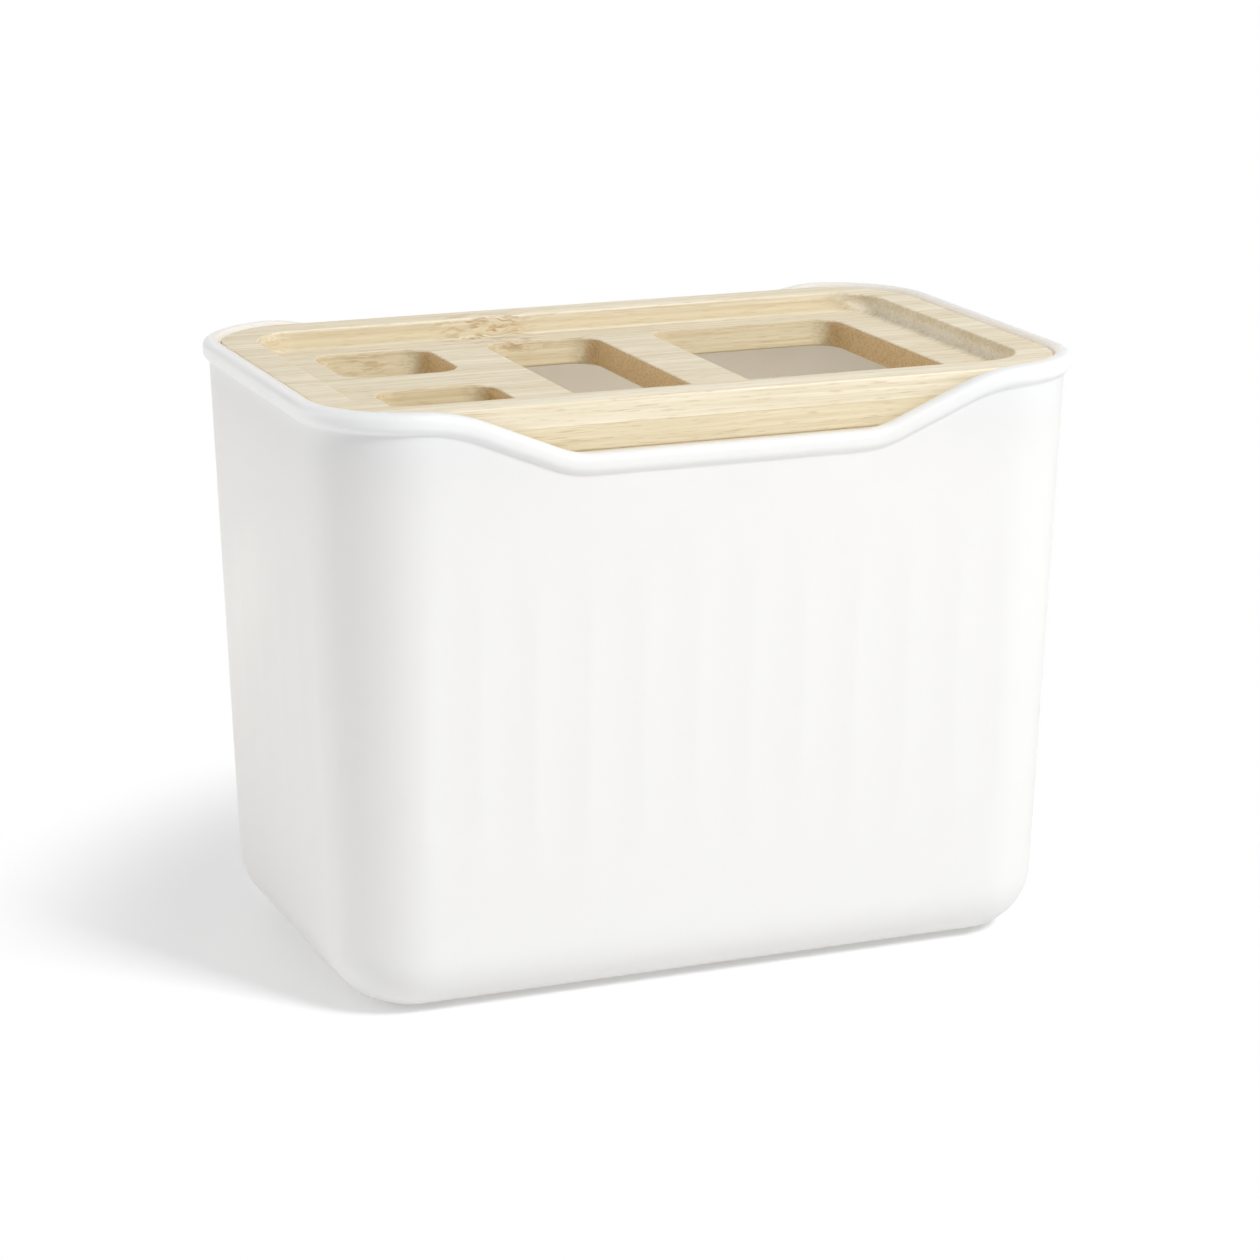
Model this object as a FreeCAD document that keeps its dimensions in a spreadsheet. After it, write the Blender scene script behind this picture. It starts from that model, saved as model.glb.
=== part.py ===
import FreeCAD, Part
import Sketcher
import math
import os

# Toothbrush holder: a moulded cup with scooped long sides, and a lift-out lid of two glued bamboo boards.
# Frame: millimetres, +Z up, +X along the long side, origin under the middle of the base.

SIZES = {
    # Cup, outside of the wall: its foot, and how far each side leans out from there to the rim
    "cup_height": 120.0,
    "foot_length": 149.0,
    "foot_width": 90.0,
    "foot_corner_radius": 16.0,
    "foot_round": 13.0,
    "flare": 4.3,
    # Rolled bead along the rim, and the scoop in each long side
    "bead_height": 4.0,
    "bead_proud": 1.2,
    "bead_round": 1.6,
    "scoop_floor_length": 62.0,
    "scoop_mouth_length": 111.0,
    "scoop_floor_radius": 18.0,
    "scoop_mouth_radius": 36.0,
    # Inside of the cup: the base, the wall below the lid's ledge and the thinner one beside the lid
    "base_thickness": 3.0,
    "wall_thickness": 3.4,
    "rim_wall": 1.9,
    # Upright flutes in the walls: each row runs a little way into the rounded corners
    "flute_depth": 0.25,
    "flute_overlap": 2.55,
    "flute_foot_gap": 22.0,
    "flute_rim_gap": 10.8,
    "flute_fade": 18.0,
    # Lid: it fills the rim but for the clearance; the panel is what the recess leaves of the upper board
    "lid_clearance": 0.6,
    "lid_drop": 0.6,
    "lower_board_thickness": 5.0,
    "upper_board_thickness": 4.6,
    "panel_thickness": 0.7,
    "border_width": 7.5,
    "cove_radius": 2.8,
    "edge_chamfer": 0.5,
    # Openings through the lid: the wide tray opening takes what the others leave of its length
    "end_margin": 18.4,
    "side_margin": 15.5,
    "brush_hole_width": 24.3,
    "brush_web": 14.0,
    "slot_width": 24.3,
    "web_width": 12.4,
    "opening_corner_radius": 5.5,
    # No rounding takes up more than this share of what it runs along
    "round_limit_share": 0.85,
    # Cutting tools run past what they cut by this much
    "overrun": 4.0,
}
LONG_SIDE_FLUTES = 11
SHORT_SIDE_FLUTES = 5

# Degrees that a barrel turns through, evenly to both sides of its sketch
HALF_TURN = 180
# An upright face's normal has less than this share of its length along Z
UPRIGHT_SHARE = 0.5
# Edges count as level with a height when they are off by less than this share of the overrun
LEVEL_SHARE = 0.001

doc = FreeCAD.newDocument("ToothbrushHolder")
sheet = doc.addObject("Spreadsheet::Sheet", "Sizes")
for row, (alias, value) in enumerate(SIZES.items(), start=1):
    sheet.set(f"A{row}", alias)
    sheet.set(f"B{row}", str(value))
    sheet.setAlias(f"B{row}", alias)
doc.recompute()


# Formulas on the sheet
class Formula(str):
    """A formula on the sheet's cells, joined to others with the usual signs."""

    def __add__(self, other):
        return Formula(f"({self} + {other})")

    def __sub__(self, other):
        return Formula(f"({self} - {other})")

    def __mul__(self, other):
        return Formula(f"({self} * {other})")

    def __truediv__(self, other):
        return Formula(f"({self} / {other})")

    def __neg__(self):
        return Formula(f"(-{self})")

    def value(self):
        """The formula's number as the sheet stands."""
        return float(sheet.evalExpression(self))


def size(alias):
    """The sheet's cell of that name."""
    return Formula(f"Sizes.{alias}")


def limited(rounding, room):
    """A rounding, or the share of its room that it may take up where that is less."""
    return Formula(f"min({rounding}; {size('round_limit_share') * room})")


# Heights, and the outlines of the seat in the rim and of the lid in the seat
NOTHING = Formula("0")
overrun = size("overrun")
cup_height = size("cup_height")
stock_height = cup_height + overrun
lid_top = cup_height - size("lid_drop")
glue_height = lid_top - size("upper_board_thickness")
seat_height = glue_height - size("lower_board_thickness")
recess_floor = glue_height + size("panel_thickness")
seat_growth = size("flare") - size("rim_wall")
seat_length = size("foot_length") + seat_growth * 2
seat_width = size("foot_width") + seat_growth * 2
seat_corner_radius = size("foot_corner_radius") + seat_growth
lid_length = seat_length - size("lid_clearance") * 2
lid_width = seat_width - size("lid_clearance") * 2
lid_corner_radius = seat_corner_radius - size("lid_clearance")


# Sketches, whose origin has this address among their points
ORIGIN = (-1, 1)


def new_body(name):
    """A body whose label names its file."""
    body = doc.addObject("PartDesign::Body", name)
    body.Label = name
    return body


def new_sketch(body, name, role, lift):
    """A sketch on one of the body's own origin planes, lifted along the plane's normal."""
    sketch = body.newObject("Sketcher::SketchObject", name)
    plane = next(feature for feature in body.Origin.OriginFeatures if feature.Role == role)
    sketch.AttachmentSupport = (plane, [""])
    sketch.MapMode = "FlatFace"
    sketch.setExpression("AttachmentOffset.Base.z", lift)
    return sketch


def constrain(sketch, formula, *terms):
    """A constraint whose size follows a formula."""
    index = sketch.addConstraint(Sketcher.Constraint(*terms, formula.value()))
    sketch.setExpression(f"Constraints[{index}]", formula)


def draw_outline(sketch, corners):
    """A closed outline through corners of x, y and radius, with a tangent arc wherever a radius is given."""
    start, end = 1, 2
    points = [FreeCAD.Vector(x.value(), y.value(), 0) for x, y, radius in corners]
    arrivals = list(points)
    departures = list(points)
    arcs = {}
    for corner, (x, y, radius) in enumerate(corners):
        if radius is None:
            continue
        back = (points[corner - 1] - points[corner]).normalize()
        ahead = (points[(corner + 1) % len(points)] - points[corner]).normalize()
        half_angle = back.getAngle(ahead) / 2
        arrivals[corner] = points[corner] + back * (radius.value() / math.tan(half_angle))
        departures[corner] = points[corner] + ahead * (radius.value() / math.tan(half_angle))
        centre = points[corner] + (back + ahead).normalize() * (radius.value() / math.sin(half_angle))
        circle = Part.Circle(centre, FreeCAD.Vector(0, 0, 1), radius.value())
        ends = [circle.parameter(arrivals[corner]), circle.parameter(departures[corner])]
        turns_left = ahead.cross(back).z > 0
        if not turns_left:
            ends.reverse()
        arc = sketch.addGeometry(Part.ArcOfCircle(circle, *ends))
        arcs[corner] = (arc, start, end) if turns_left else (arc, end, start)
    lines = []
    for corner, departure in enumerate(departures):
        lines.append(sketch.addGeometry(Part.LineSegment(departure, arrivals[(corner + 1) % len(points)])))
    for corner, (x, y, radius) in enumerate(corners):
        before, after = lines[corner - 1], lines[corner]
        if radius is None:
            sketch.addConstraint(Sketcher.Constraint("Coincident", before, end, after, start))
            tip = (after, start)
        else:
            tip = (sketch.addGeometry(Part.Point(points[corner]), True), start)
            arc, arrival, departure = arcs[corner]
            sketch.addConstraint(Sketcher.Constraint("PointOnObject", *tip, before))
            sketch.addConstraint(Sketcher.Constraint("PointOnObject", *tip, after))
            sketch.addConstraint(Sketcher.Constraint("Tangent", before, end, arc, arrival))
            sketch.addConstraint(Sketcher.Constraint("Tangent", after, start, arc, departure))
            constrain(sketch, radius, "Radius", arc)
        constrain(sketch, x, "DistanceX", *ORIGIN, *tip)
        constrain(sketch, y, "DistanceY", *ORIGIN, *tip)


def draw_rectangle(sketch, left, right, front, rear, radius):
    """A rectangle with rounded corners."""
    sides = [(left, front), (right, front), (right, rear), (left, rear)]
    draw_outline(sketch, [(x, y, radius) for x, y in sides])


def level_rectangle(body, name, height, length, width, radius):
    """A level sketch of a rounded rectangle about the middle."""
    sketch = new_sketch(body, name, "XY_Plane", height)
    draw_rectangle(sketch, -length / 2, length / 2, -width / 2, width / 2, radius)
    return sketch


# Features
def add_loft(body, name, lower, upper):
    """A straight-sided loft from a level sketch down to a lower one, so that its faces point outwards."""
    loft = body.newObject("PartDesign::AdditiveLoft", name)
    loft.Profile = upper
    loft.Sections = [lower]
    loft.Ruled = True
    doc.recompute()
    return loft


def add_pad(body, name, sketch, length):
    """A sketch carried upwards."""
    pad = body.newObject("PartDesign::Pad", name)
    pad.Profile = sketch
    pad.setExpression("Length", length)
    doc.recompute()


def add_cut(body, name, sketch, side, upwards):
    """A pocket through everything on one side of its sketch, or on both."""
    pocket = body.newObject("PartDesign::Pocket", name)
    pocket.Profile = sketch
    pocket.Type = "ThroughAll"
    pocket.SideType = side
    pocket.Reversed = upwards
    doc.recompute()
    return pocket


def is_upright(face, point):
    """Whether a face stands upright at a point."""
    return abs(face.normalAt(*face.Surface.parameter(point)).z) < UPRIGHT_SHARE


def crease_edges(shape, height=None):
    """The edges where an upright face meets a level one: all of them, or those at one height."""
    names = []
    for number, edge in enumerate(shape.Edges, start=1):
        middle = edge.valueAt((edge.FirstParameter + edge.LastParameter) / 2)
        box = edge.BoundBox
        if height is not None:
            off = max(abs(box.ZMin - height.value()), abs(box.ZMax - height.value()))
            if off > overrun.value() * LEVEL_SHARE:
                continue
        faces = shape.ancestorsOfType(edge, Part.Face)
        if len({is_upright(face, middle) for face in faces}) == 2:
            names.append(f"Edge{number}")
    return names


def add_round(body, name, base, edges, radius):
    """Rounded edges on a feature."""
    fillet = body.newObject("PartDesign::Fillet", name)
    fillet.Base = (base, edges)
    fillet.setExpression("Radius", radius)
    doc.recompute()


def add_chamfer(body, name, base, edges, width):
    """Eased edges on a feature."""
    chamfer = body.newObject("PartDesign::Chamfer", name)
    chamfer.Base = (base, edges)
    chamfer.setExpression("Size", width)
    doc.recompute()


def add_boolean(body, name, kind, tool):
    """Another body fused on or cut away."""
    boolean = body.newObject("PartDesign::Boolean", name)
    boolean.Type = kind
    boolean.setObjects([tool])
    doc.recompute()


# Rim line of the cup: level at the ends, dipping to the lid's seat in the middle of each long side
scoop_depth = cup_height - seat_height
scoop_run = (size("scoop_mouth_length") - size("scoop_floor_length")) / 2
slope_length = Formula(f"hypot({scoop_run}; {scoop_depth})")
half_slope_tangent = Formula(f"tan(atan({scoop_depth} / {scoop_run}) / 2)")
scoop_floor_radius = limited(size("scoop_floor_radius"), slope_length / 3 / half_slope_tangent)
scoop_mouth_radius = limited(size("scoop_mouth_radius"), slope_length * 2 / 3 / half_slope_tangent)
past_end = size("foot_length") / 2 + size("flare") + size("bead_proud") + overrun


def rim_cut(body, name, drop, closing_height):
    """A cut along the rim line, lowered square to itself by a drop, as far as a closing height."""
    floor = size("scoop_floor_length") / 2 + half_slope_tangent * drop
    mouth = size("scoop_mouth_length") / 2 + half_slope_tangent * drop
    floor_height = seat_height - drop
    mouth_height = cup_height - drop
    floor_radius = scoop_floor_radius + drop
    mouth_radius = scoop_mouth_radius - drop
    sketch = new_sketch(body, f"{name}_outline", "XZ_Plane", NOTHING)
    draw_outline(sketch, [
        (-past_end, closing_height, None),
        (-past_end, mouth_height, None),
        (-mouth, mouth_height, mouth_radius),
        (-floor, floor_height, floor_radius),
        (floor, floor_height, floor_radius),
        (mouth, mouth_height, mouth_radius),
        (past_end, mouth_height, None),
        (past_end, closing_height, None),
    ])
    return add_cut(body, name, sketch, "Symmetric", False)


# Flared forms: the bead, the tub and the cavity all lean with the wall, about the same corner centres
def flared_form(body, name, proud, bottom, top):
    """The wall's outer form between two heights, proud of the wall, or inside it where proud is negative."""
    outlines = []
    for height in (bottom, top):
        growth = proud + size("flare") * height / cup_height
        length = size("foot_length") + growth * 2
        width = size("foot_width") + growth * 2
        radius = size("foot_corner_radius") + growth
        outlines.append(level_rectangle(body, f"{name}_outline", height, length, width, radius))
    return add_loft(body, name, *outlines)


above_stock = stock_height + overrun
below_foot = -overrun

# Bead: a form larger than the tub, kept only between the rim line and the bead's own height below it
rim = new_body("rim_bead")
flared_form(rim, "bead_form", size("bead_proud"), NOTHING, stock_height)
rim_cut(rim, "bead_underside", size("bead_height"), below_foot)
bead = rim_cut(rim, "bead_top", NOTHING, above_stock)
bead_round = limited(size("bead_round"), size("bead_height") / 2)
add_round(rim, "bead_rounding", bead, crease_edges(bead.Shape), bead_round)

# Core: the space inside the tub, as far as the ledge that carries the lid
wall = size("wall_thickness")
base = size("base_thickness")
foot_round = limited(size("foot_round"), size("foot_corner_radius"))
core = new_body("core")
core_form = flared_form(core, "core_form", -wall, base, seat_height + overrun)
add_round(core, "core_rounding", core_form, crease_edges(core_form.Shape, base), foot_round - wall)

# Cup: the tub ends inside the bead, which is fused on before the inside is cut out
cup = new_body("cup")
tub = flared_form(cup, "tub", NOTHING, NOTHING, stock_height)
add_round(cup, "foot_rounding", tub, crease_edges(tub.Shape, NOTHING), foot_round)
rim_cut(cup, "tub_top", size("bead_height") / 2, above_stock)
add_boolean(cup, "rolled_rim", "Fuse", rim)
seat_outline = level_rectangle(cup, "seat_outline", seat_height, seat_length, seat_width, seat_corner_radius)
add_cut(cup, "lid_seat", seat_outline, "One side", True)
add_boolean(cup, "cavity", "Cut", core)

# Flutes: each is cut by a long barrel whose axis leans with the wall and whose ends taper out of it
flute_depth = size("flute_depth")
flute_fade = size("flute_fade")
flute_start = size("flute_foot_gap")
flute_end = seat_height - size("bead_height") - size("flute_rim_gap")


def add_flutes(name, role, outward, across, along, count):
    """A row of flutes along one wall; outward is the wall's side of the sketch plane, 1 or -1."""
    pitch = (along + (size("flute_overlap") - size("foot_corner_radius")) * 2) / count
    barrel_radius = pitch * pitch / (flute_depth * 8) + flute_depth / 2
    barrel_end_radius = barrel_radius - flute_depth - flute_depth * overrun / flute_fade
    lean = Formula(f"atan({size('flare')} / {cup_height})")
    reach = barrel_radius - flute_depth
    sketch = new_sketch(cup, f"{name}_flute_outline", role, pitch * (1 - count) / 2)
    sketch.setExpression("AttachmentOffset.Base.x", (across / 2 + Formula(f"cos({lean})") * reach) * outward)
    sketch.setExpression("AttachmentOffset.Base.y", -Formula(f"sin({lean})") * reach)
    sketch.setExpression("AttachmentOffset.Rotation.Angle", lean * -outward)
    draw_outline(sketch, [
        (NOTHING, flute_start - overrun, None),
        (barrel_end_radius * -outward, flute_start - overrun, None),
        (barrel_radius * -outward, flute_start + flute_fade, None),
        (barrel_radius * -outward, flute_end - flute_fade, None),
        (barrel_end_radius * -outward, flute_end + overrun, None),
        (NOTHING, flute_end + overrun, None),
    ])
    flute = cup.newObject("PartDesign::Groove", f"{name}_flute")
    flute.Profile = sketch
    flute.ReferenceAxis = (sketch, ["V_Axis"])
    flute.Midplane = True
    flute.Angle = HALF_TURN
    doc.recompute()
    row_of_flutes = cup.newObject("PartDesign::LinearPattern", f"{name}_flutes")
    row_of_flutes.Originals = [flute]
    row_of_flutes.Direction = (sketch, ["N_Axis"])
    row_of_flutes.Mode = "Spacing"
    row_of_flutes.setExpression("Offset", pitch)
    row_of_flutes.Occurrences = count
    cup.Tip = row_of_flutes
    doc.recompute()


foot_length = size("foot_length")
foot_width = size("foot_width")
add_flutes("front", "YZ_Plane", -1, foot_width, foot_length, LONG_SIDE_FLUTES)
add_flutes("rear", "YZ_Plane", 1, foot_width, foot_length, LONG_SIDE_FLUTES)
add_flutes("left", "XZ_Plane", -1, foot_length, foot_width, SHORT_SIDE_FLUTES)
add_flutes("right", "XZ_Plane", 1, foot_length, foot_width, SHORT_SIDE_FLUTES)

# Openings through both boards: two brush holes one behind the other, a slot and a wide tray opening
half_row = lid_length / 2 - size("end_margin")
half_span = lid_width / 2 - size("side_margin")
brush_right = size("brush_hole_width") - half_row
slot_left = brush_right + size("web_width")
slot_right = slot_left + size("slot_width")
tray_left = slot_right + size("web_width")
half_web = size("brush_web") / 2
OPENINGS = [
    (-half_row, brush_right, -half_span, -half_web),
    (-half_row, brush_right, half_web, half_span),
    (slot_left, slot_right, -half_span, half_span),
    (tray_left, half_row, -half_span, half_span),
]


def add_openings(body, height):
    """The four openings, cut upwards from a height."""
    sketch = new_sketch(body, "opening_outlines", "XY_Plane", height)
    for sides in OPENINGS:
        draw_rectangle(sketch, *sides, size("opening_corner_radius"))
    return add_cut(body, "openings", sketch, "One side", True)


def board(name, height, thickness):
    """A board with the lid's outline."""
    body = new_body(name)
    outline = level_rectangle(body, "board_outline", height, lid_length, lid_width, lid_corner_radius)
    add_pad(body, "board", outline, thickness)
    return body


# Lower board of the lid
lower_board = board("lid_lower_board", seat_height, size("lower_board_thickness"))
lower_cut = add_openings(lower_board, seat_height)
lower_edges = crease_edges(lower_cut.Shape, seat_height)
add_chamfer(lower_board, "underside_chamfer", lower_cut, lower_edges, size("edge_chamfer"))

# Upper board of the lid, with the dished recess
upper_board = board("lid_upper_board", glue_height, size("upper_board_thickness"))
border = size("border_width")
recess_outline = level_rectangle(
    upper_board, "recess_outline", recess_floor,
    lid_length - border * 2, lid_width - border * 2, lid_corner_radius - border)
recess = add_cut(upper_board, "recess", recess_outline, "One side", True)
upright_room = lid_top - recess_floor - size("edge_chamfer")
cove_radius = limited(size("cove_radius"), upright_room)
add_round(upper_board, "cove", recess, crease_edges(recess.Shape, recess_floor), cove_radius)
upper_cut = add_openings(upper_board, glue_height)
upper_edges = crease_edges(upper_cut.Shape, lid_top) + crease_edges(upper_cut.Shape, recess_floor)
add_chamfer(upper_board, "top_chamfer", upper_cut, upper_edges, size("edge_chamfer"))

# Every object has to have come out whole, and every cut has to have taken something away
doc.recompute()
CUTTING_KINDS = ("PartDesign::Pocket", "PartDesign::Groove")
for item in doc.Objects:
    if "Invalid" in item.State or "Error" in item.State:
        raise RuntimeError(f"{item.Name} failed: {item.State}")
    if item.TypeId in CUTTING_KINDS and not item.Shape.Volume < item.BaseFeature.Shape.Volume:
        raise RuntimeError(f"{item.Name} cuts nothing")

os.makedirs("parts", exist_ok=True)
for piece in (cup, lower_board, upper_board):
    if piece.Shape.isNull() or not piece.Shape.isValid() or len(piece.Shape.Solids) != 1:
        raise RuntimeError(f"{piece.Label} is not one sound solid")
    piece.Shape.exportStep(f"parts/{piece.Label}.step")
    print(piece.Label, round(piece.Shape.Volume), "cubic mm", piece.Shape.BoundBox)
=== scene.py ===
"""A toothbrush holder: a satin white cup with a scooped, rolled rim, and a lift-out lid of two bamboo boards."""
import logging
import math
from dataclasses import dataclass
from enum import Enum
from typing import Any

import bpy
import numpy as np
from mathutils import Matrix, Vector


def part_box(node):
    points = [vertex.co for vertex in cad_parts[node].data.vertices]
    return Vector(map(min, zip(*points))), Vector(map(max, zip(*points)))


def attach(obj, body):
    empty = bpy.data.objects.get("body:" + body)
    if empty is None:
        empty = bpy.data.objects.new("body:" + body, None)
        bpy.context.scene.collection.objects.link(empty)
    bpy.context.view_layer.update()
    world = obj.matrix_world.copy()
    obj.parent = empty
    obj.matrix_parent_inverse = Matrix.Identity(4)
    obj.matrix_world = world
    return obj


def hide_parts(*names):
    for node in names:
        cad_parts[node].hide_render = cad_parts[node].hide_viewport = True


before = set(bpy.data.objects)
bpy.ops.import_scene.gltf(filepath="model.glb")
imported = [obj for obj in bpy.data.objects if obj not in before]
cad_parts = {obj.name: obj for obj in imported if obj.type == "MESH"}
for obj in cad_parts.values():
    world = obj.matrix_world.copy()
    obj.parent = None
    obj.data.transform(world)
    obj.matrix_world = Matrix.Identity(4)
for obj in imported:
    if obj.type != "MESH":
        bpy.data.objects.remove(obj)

LOG = logging.getLogger("toothbrush_holder")
MM = 0.001
IMAGE_PIXELS = 1260
SENSOR_WIDTH = 36.0
WELD_DISTANCE = 1e-4 * MM
SAME_PLACE = 1e-6 * MM
SHARP_ANGLE = math.radians(40)
NOISE_MIDDLE = 0.5

Colour = tuple[float, float, float]
Point = tuple[float, float, float]
Span = tuple[float, float]
Row = tuple[Any, Any, Any]


# Surfaces


class Surface:
    """Grids of points that are welded into one closed mesh."""

    def __init__(self) -> None:
        """Starts with no points and no faces."""
        self.points: list[np.ndarray] = []
        self.faces: list[np.ndarray] = []
        self.slots: list[np.ndarray] = []
        self.count = 0

    def _take(self, points: np.ndarray) -> np.ndarray:
        """Keeps points.

        Args:
            points: An array whose last axis holds X, Y and Z.

        Returns:
            The points' numbers, in the same layout.
        """
        numbers = self.count + np.arange(points[..., 0].size).reshape(points.shape[:-1])
        self.points.append(points.reshape(-1, 3))
        self.count += numbers.size
        return numbers

    def _join(self, corners: tuple[np.ndarray, ...], slot: int) -> None:
        """Keeps faces.

        Args:
            corners: The point numbers at each corner of the faces.
            slot: The faces' material slot.
        """
        faces = np.stack(corners, axis=-1).reshape(-1, len(corners))
        self.faces.append(faces)
        self.slots.append(np.full(len(faces), slot))

    def add_rings(self, rings: np.ndarray, slot: int = 0) -> np.ndarray:
        """Joins each closed ring to the next one with four-sided faces.

        The faces point along ring direction x row direction, so rings that turn anticlockwise seen from above
        face outwards where the rows climb, and upwards where the rows run inwards.

        Args:
            rings: Points by row and column, as an array of rows x columns x 3.
            slot: The faces' material slot.

        Returns:
            The points' numbers, by row and column.
        """
        numbers = self._take(rings)
        ahead = np.roll(numbers, -1, axis=1)
        self._join((numbers[:-1], ahead[:-1], ahead[1:], numbers[1:]), slot)
        return numbers

    def add_fan(self, ring: np.ndarray, apex: np.ndarray, opens: bool, slot: int = 0) -> None:
        """Closes a ring with three-sided faces that meet in one point.

        Args:
            ring: The ring's point numbers.
            apex: The point where the faces meet.
            opens: Whether the rows of the surface start here, or else end here.
            slot: The faces' material slot.
        """
        middle = self._take(apex.reshape(1, 3))[0]
        ahead = np.roll(ring, -1)
        sides = (ahead, ring) if opens else (ring, ahead)
        self._join((*sides, np.full_like(ring, middle)), slot)

    def piece(self, name: str) -> bpy.types.Object:
        """Makes the mesh object, welded along shared edges, and shaded smoothly except over sharp edges.

        Args:
            name: The object's name.

        Returns:
            The new object, at the origin.
        """
        mesh = bpy.data.meshes.new(name)
        faces = [face for block in self.faces for face in block.tolist()]
        mesh.from_pydata(np.concatenate(self.points), [], faces)
        mesh.polygons.foreach_set("material_index", np.concatenate(self.slots))
        made = bpy.data.objects.new(name, mesh)
        bpy.context.scene.collection.objects.link(made)
        weld = made.modifiers.new("weld", "WELD")
        weld.merge_threshold = WELD_DISTANCE
        solid = bpy.data.meshes.new_from_object(made.evaluated_get(bpy.context.evaluated_depsgraph_get()))
        made.modifiers.clear()
        made.data = solid
        solid.name = name
        solid.polygons.foreach_set("use_smooth", np.ones(len(solid.polygons), dtype=bool))
        solid.set_sharp_from_angle(angle=SHARP_ANGLE)
        LOG.info("%s: %d faces", name, len(solid.polygons))
        return made


def arc(centre: tuple[float, float], radius: float, start: float, end: float, steps: int) -> np.ndarray:
    """Points of an arc: centre + radius * (cos, sin) of evenly spaced angles.

    Args:
        centre: The arc's centre in its own plane.
        radius: The arc's radius.
        start: First angle in degrees.
        end: Last angle in degrees.
        steps: The number of stretches between points.

    Returns:
        An array of (steps + 1) x 2.
    """
    angle = np.radians(np.linspace(start, end, steps + 1))
    return np.asarray(centre) + radius * np.stack((np.cos(angle), np.sin(angle)), axis=-1)


def rounded_core(half_length: float, half_width: float, steps: tuple[int, int, int]) -> tuple[np.ndarray, np.ndarray]:
    """A rounded rectangle as core points and outward directions: a ring at any reach is core + reach * direction.

    In a corner the core point rests on the corner's centre while the direction swings through a quarter turn,
    and along a side the direction rests while the core point slides to the next corner's centre.

    Args:
        half_length: Half the distance between corner centres along X.
        half_width: Half the distance between corner centres along Y.
        steps: Stretches per long side, short side and corner.

    Returns:
        The core points and the directions, each an array of columns x 2, anticlockwise from the right-hand side.
    """
    centres = np.array([(1, 1), (-1, 1), (-1, -1), (1, -1)]) * (half_length, half_width)
    core, turn = [], []
    for quarter, centre in enumerate(centres):
        side_steps = steps[quarter % 2]
        slide = np.linspace(0.0, 1.0, side_steps, endpoint=False)[:, None]
        core += [np.tile(centre, (steps[2], 1)), centre + slide * (centres[(quarter + 1) % 4] - centre)]
        turn += [quarter + np.linspace(0.0, 1.0, steps[2], endpoint=False), np.full(side_steps, quarter + 1.0)]
    angle = np.concatenate(turn) * math.pi / 2
    return np.concatenate(core), np.stack((np.cos(angle), np.sin(angle)), axis=-1)


def rows_of(reaches: np.ndarray, heights: np.ndarray) -> list[Row]:
    """Rows of the cup with full spread, from the reach and the height of each."""
    return [(1.0, reach, height) for reach, height in zip(reaches, heights)]


def stack_rings(rows: list[tuple[np.ndarray, float]]) -> np.ndarray:
    """Level rings at their heights as one array.

    Args:
        rows: A ring of columns x 2 and its height, row by row.

    Returns:
        Points, rows x columns x 3.
    """
    plan = np.stack([ring for ring, _ in rows])
    height = np.array([height for _, height in rows])
    return np.concatenate((plan, np.broadcast_to(height[:, None, None], (*plan.shape[:2], 1))), axis=-1)


# Shader maths


def opaque(colour: Colour) -> tuple[float, float, float, float]:
    """A colour with full alpha."""
    return (*colour, 1.0)


def grey(level: float) -> tuple[float, float, float, float]:
    """A grey with full alpha."""
    return opaque((level, level, level))


@dataclass(frozen=True)
class Pattern:
    """A kind of noise: cycles per millimetre along each axis, depth of detail, and a shift that sets it apart."""

    scale: Point
    detail: float = 2.0
    shift: float = 0.0


class Wire:
    """A shader socket; the usual signs between wires and numbers add Math nodes."""

    def __init__(self, graph: "Graph", socket: bpy.types.NodeSocket) -> None:
        """Wraps a socket of a graph."""
        self.graph = graph
        self.socket = socket

    def _math(self, operation: str, first: Any, second: Any) -> "Wire":
        """Adds a Math node on two values."""
        return self.graph.add("ShaderNodeMath", {"operation": operation}, {0: first, 1: second})

    def __add__(self, other: Any) -> "Wire":
        """Sum."""
        return self._math("ADD", self, other)

    __radd__ = __add__

    def __sub__(self, other: Any) -> "Wire":
        """Difference."""
        return self._math("SUBTRACT", self, other)

    def __rsub__(self, other: Any) -> "Wire":
        """Difference from a number."""
        return self._math("SUBTRACT", other, self)

    def __mul__(self, other: Any) -> "Wire":
        """Product."""
        return self._math("MULTIPLY", self, other)

    __rmul__ = __mul__

    def __truediv__(self, other: Any) -> "Wire":
        """Quotient."""
        return self._math("DIVIDE", self, other)

    def __abs__(self) -> "Wire":
        """Size without sign."""
        return self._math("ABSOLUTE", self, 0.0)

    def step(self, low: float, high: float) -> "Wire":
        """Eases from 0 at a low value to 1 at a high one."""
        settings = {"interpolation_type": "SMOOTHSTEP"}
        return self.graph.add("ShaderNodeMapRange", settings, {"Value": self, "From Min": low, "From Max": high})

    def bell(self, middle: float, width: float) -> "Wire":
        """Falls from 1 at a middle value to 0 at a width to either side, as (1 - ((v - m) / w)^2) above 0."""
        off = (self - middle) / width
        return self._math("MAXIMUM", 1.0 - off * off, 0.0)

    def beside(self, output: str) -> "Wire":
        """Another output of the same node."""
        return Wire(self.graph, self.socket.node.outputs[output])


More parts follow.
